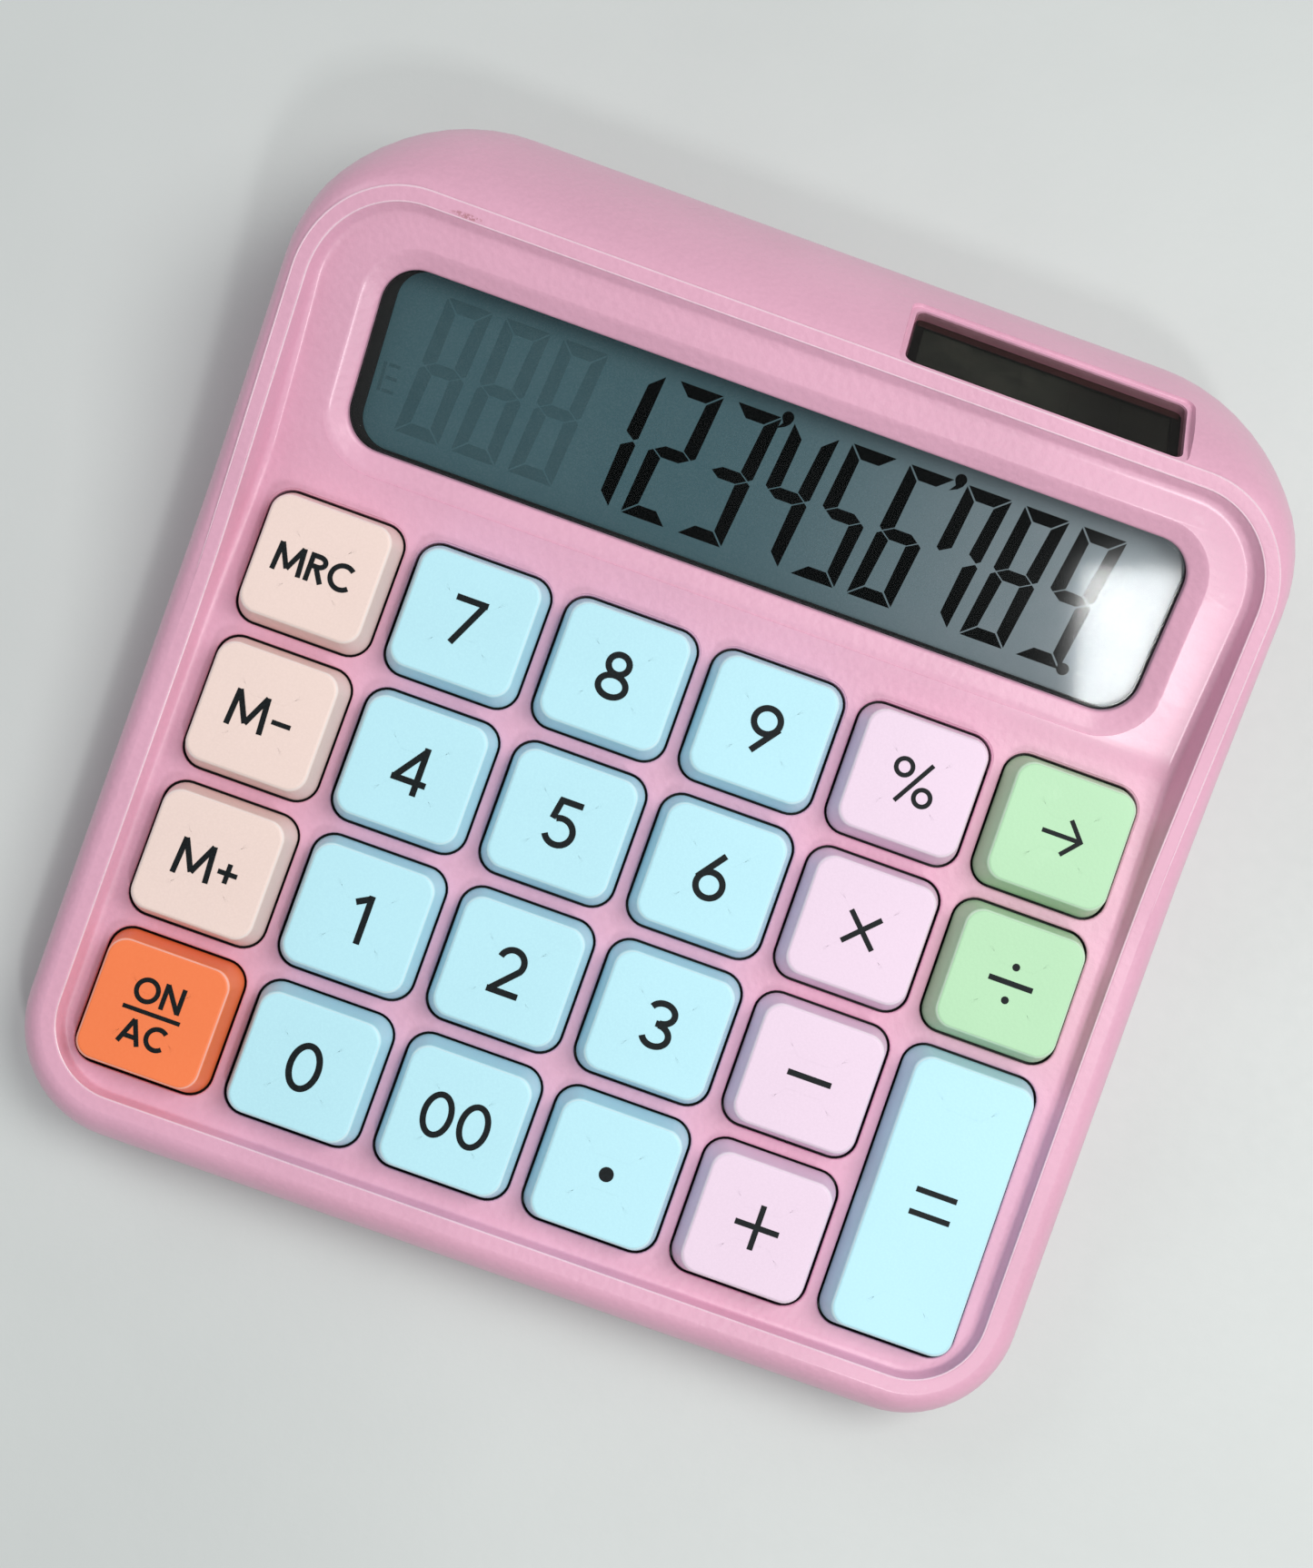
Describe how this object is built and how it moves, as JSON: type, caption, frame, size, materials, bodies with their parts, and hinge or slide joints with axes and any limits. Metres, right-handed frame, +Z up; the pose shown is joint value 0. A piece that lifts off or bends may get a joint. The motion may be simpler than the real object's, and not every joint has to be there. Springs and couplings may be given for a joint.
{
  "type": "desk calculator",
  "caption": "Desk calculator with a wedge-shaped raised-rim case, a large sloping display, a solar window on the back slope and soft-square push keys.",
  "frame": {"origin": "on the table, under the centre of the case's bounding box", "axes": "+X to the user's right, +Y away from the user towards the display, +Z up"},
  "size_m": [0.1526, 0.1578, 0.0402],
  "materials": {
    "case_pink": "satin moulded plastic with a fine grain",
    "key_cream": "satin pale peach plastic with black legends",
    "key_blue": "satin pale blue plastic with black legends",
    "key_lilac": "satin pale lilac plastic with black legends",
    "key_green": "satin pale green plastic with black legends",
    "key_orange": "satin orange plastic with black legends",
    "clear_lens": "clear gloss acrylic",
    "lcd": "grey-green liquid crystal panel",
    "solar_glass": "smoked gloss acrylic",
    "solar_cell": "dark brown solar cell",
    "black_plastic": "matt black",
    "foot_rubber": "matt dark rubber",
    "silicone": "translucent white silicone",
    "board": "green solder-masked glass laminate",
    "plated_steel": "plated steel",
    "ribbon": "amber film",
    "battery_sleeve": "plain printed sleeve"
  },
  "bodies": {
    "case": {"top_shell": "case_pink", "bottom_shell": "case_pink", "foot_front_left": "foot_rubber", "foot_front_right": "foot_rubber", "foot_back_left": "foot_rubber", "foot_back_right": "foot_rubber", "case_screw_front_left": "plated_steel", "case_screw_front_right": "plated_steel", "case_screw_middle_left": "plated_steel", "case_screw_middle_right": "plated_steel", "case_screw_back_left": "plated_steel", "case_screw_back_right": "plated_steel", "dome_mat": "silicone", "circuit_board": "board", "controller_chip": "black_plastic", "board_screw_left": "plated_steel", "board_screw_middle": "plated_steel", "board_screw_right": "plated_steel", "display_lens": "clear_lens", "lcd_gasket": "black_plastic", "lcd_glass": "lcd", "lcd_ribbon": "ribbon", "solar_window": "solar_glass", "solar_cell": "solar_cell", "battery_cell": "battery_sleeve", "battery_spring": "plated_steel", "battery_plate": "plated_steel"},
    "battery_door": {"battery_door": "case_pink"},
    "key_mrc": {"key_mrc": "key_cream"},
    "key_7": {"key_7": "key_blue"},
    "key_8": {"key_8": "key_blue"},
    "key_9": {"key_9": "key_blue"},
    "key_percent": {"key_percent": "key_lilac"},
    "key_backspace": {"key_backspace": "key_green"},
    "key_m_minus": {"key_m_minus": "key_cream"},
    "key_4": {"key_4": "key_blue"},
    "key_5": {"key_5": "key_blue"},
    "key_6": {"key_6": "key_blue"},
    "key_multiply": {"key_multiply": "key_lilac"},
    "key_divide": {"key_divide": "key_green"},
    "key_m_plus": {"key_m_plus": "key_cream"},
    "key_1": {"key_1": "key_blue"},
    "key_2": {"key_2": "key_blue"},
    "key_3": {"key_3": "key_blue"},
    "key_minus": {"key_minus": "key_lilac"},
    "key_equals": {"key_equals": "key_blue"},
    "key_on_ac": {"key_on_ac": "key_orange"},
    "key_0": {"key_0": "key_blue"},
    "key_00": {"key_00": "key_blue"},
    "key_point": {"key_point": "key_blue"},
    "key_plus": {"key_plus": "key_lilac"}
  },
  "joints": [
    {"name": "battery_door_slide", "type": "slide", "parent": "case", "child": "battery_door", "axis": [0, 1, 0], "range_m": [0, 0.012]},
    {"name": "key_mrc_press", "type": "slide", "parent": "case", "child": "key_mrc", "axis": [0, 0.0872, -0.9962], "range_m": [0, 0.0025], "stiffness_N_per_m": 250, "springref_m": -0.002},
    {"name": "key_7_press", "type": "slide", "parent": "case", "child": "key_7", "axis": [0, 0.0872, -0.9962], "range_m": [0, 0.0025], "stiffness_N_per_m": 250, "springref_m": -0.002},
    {"name": "key_8_press", "type": "slide", "parent": "case", "child": "key_8", "axis": [0, 0.0872, -0.9962], "range_m": [0, 0.0025], "stiffness_N_per_m": 250, "springref_m": -0.002},
    {"name": "key_9_press", "type": "slide", "parent": "case", "child": "key_9", "axis": [0, 0.0872, -0.9962], "range_m": [0, 0.0025], "stiffness_N_per_m": 250, "springref_m": -0.002},
    {"name": "key_percent_press", "type": "slide", "parent": "case", "child": "key_percent", "axis": [0, 0.0872, -0.9962], "range_m": [0, 0.0025], "stiffness_N_per_m": 250, "springref_m": -0.002},
    {"name": "key_backspace_press", "type": "slide", "parent": "case", "child": "key_backspace", "axis": [0, 0.0872, -0.9962], "range_m": [0, 0.0025], "stiffness_N_per_m": 250, "springref_m": -0.002},
    {"name": "key_m_minus_press", "type": "slide", "parent": "case", "child": "key_m_minus", "axis": [0, 0.0872, -0.9962], "range_m": [0, 0.0025], "stiffness_N_per_m": 250, "springref_m": -0.002},
    {"name": "key_4_press", "type": "slide", "parent": "case", "child": "key_4", "axis": [0, 0.0872, -0.9962], "range_m": [0, 0.0025], "stiffness_N_per_m": 250, "springref_m": -0.002},
    {"name": "key_5_press", "type": "slide", "parent": "case", "child": "key_5", "axis": [0, 0.0872, -0.9962], "range_m": [0, 0.0025], "stiffness_N_per_m": 250, "springref_m": -0.002},
    {"name": "key_6_press", "type": "slide", "parent": "case", "child": "key_6", "axis": [0, 0.0872, -0.9962], "range_m": [0, 0.0025], "stiffness_N_per_m": 250, "springref_m": -0.002},
    {"name": "key_multiply_press", "type": "slide", "parent": "case", "child": "key_multiply", "axis": [0, 0.0872, -0.9962], "range_m": [0, 0.0025], "stiffness_N_per_m": 250, "springref_m": -0.002},
    {"name": "key_divide_press", "type": "slide", "parent": "case", "child": "key_divide", "axis": [0, 0.0872, -0.9962], "range_m": [0, 0.0025], "stiffness_N_per_m": 250, "springref_m": -0.002},
    {"name": "key_m_plus_press", "type": "slide", "parent": "case", "child": "key_m_plus", "axis": [0, 0.0872, -0.9962], "range_m": [0, 0.0025], "stiffness_N_per_m": 250, "springref_m": -0.002},
    {"name": "key_1_press", "type": "slide", "parent": "case", "child": "key_1", "axis": [0, 0.0872, -0.9962], "range_m": [0, 0.0025], "stiffness_N_per_m": 250, "springref_m": -0.002},
    {"name": "key_2_press", "type": "slide", "parent": "case", "child": "key_2", "axis": [0, 0.0872, -0.9962], "range_m": [0, 0.0025], "stiffness_N_per_m": 250, "springref_m": -0.002},
    {"name": "key_3_press", "type": "slide", "parent": "case", "child": "key_3", "axis": [0, 0.0872, -0.9962], "range_m": [0, 0.0025], "stiffness_N_per_m": 250, "springref_m": -0.002},
    {"name": "key_minus_press", "type": "slide", "parent": "case", "child": "key_minus", "axis": [0, 0.0872, -0.9962], "range_m": [0, 0.0025], "stiffness_N_per_m": 250, "springref_m": -0.002},
    {"name": "key_equals_press", "type": "slide", "parent": "case", "child": "key_equals", "axis": [0, 0.0872, -0.9962], "range_m": [0, 0.0025], "stiffness_N_per_m": 250, "springref_m": -0.002},
    {"name": "key_on_ac_press", "type": "slide", "parent": "case", "child": "key_on_ac", "axis": [0, 0.0872, -0.9962], "range_m": [0, 0.0025], "stiffness_N_per_m": 250, "springref_m": -0.002},
    {"name": "key_0_press", "type": "slide", "parent": "case", "child": "key_0", "axis": [0, 0.0872, -0.9962], "range_m": [0, 0.0025], "stiffness_N_per_m": 250, "springref_m": -0.002},
    {"name": "key_00_press", "type": "slide", "parent": "case", "child": "key_00", "axis": [0, 0.0872, -0.9962], "range_m": [0, 0.0025], "stiffness_N_per_m": 250, "springref_m": -0.002},
    {"name": "key_point_press", "type": "slide", "parent": "case", "child": "key_point", "axis": [0, 0.0872, -0.9962], "range_m": [0, 0.0025], "stiffness_N_per_m": 250, "springref_m": -0.002},
    {"name": "key_plus_press", "type": "slide", "parent": "case", "child": "key_plus", "axis": [0, 0.0872, -0.9962], "range_m": [0, 0.0025], "stiffness_N_per_m": 250, "springref_m": -0.002}
  ]
}
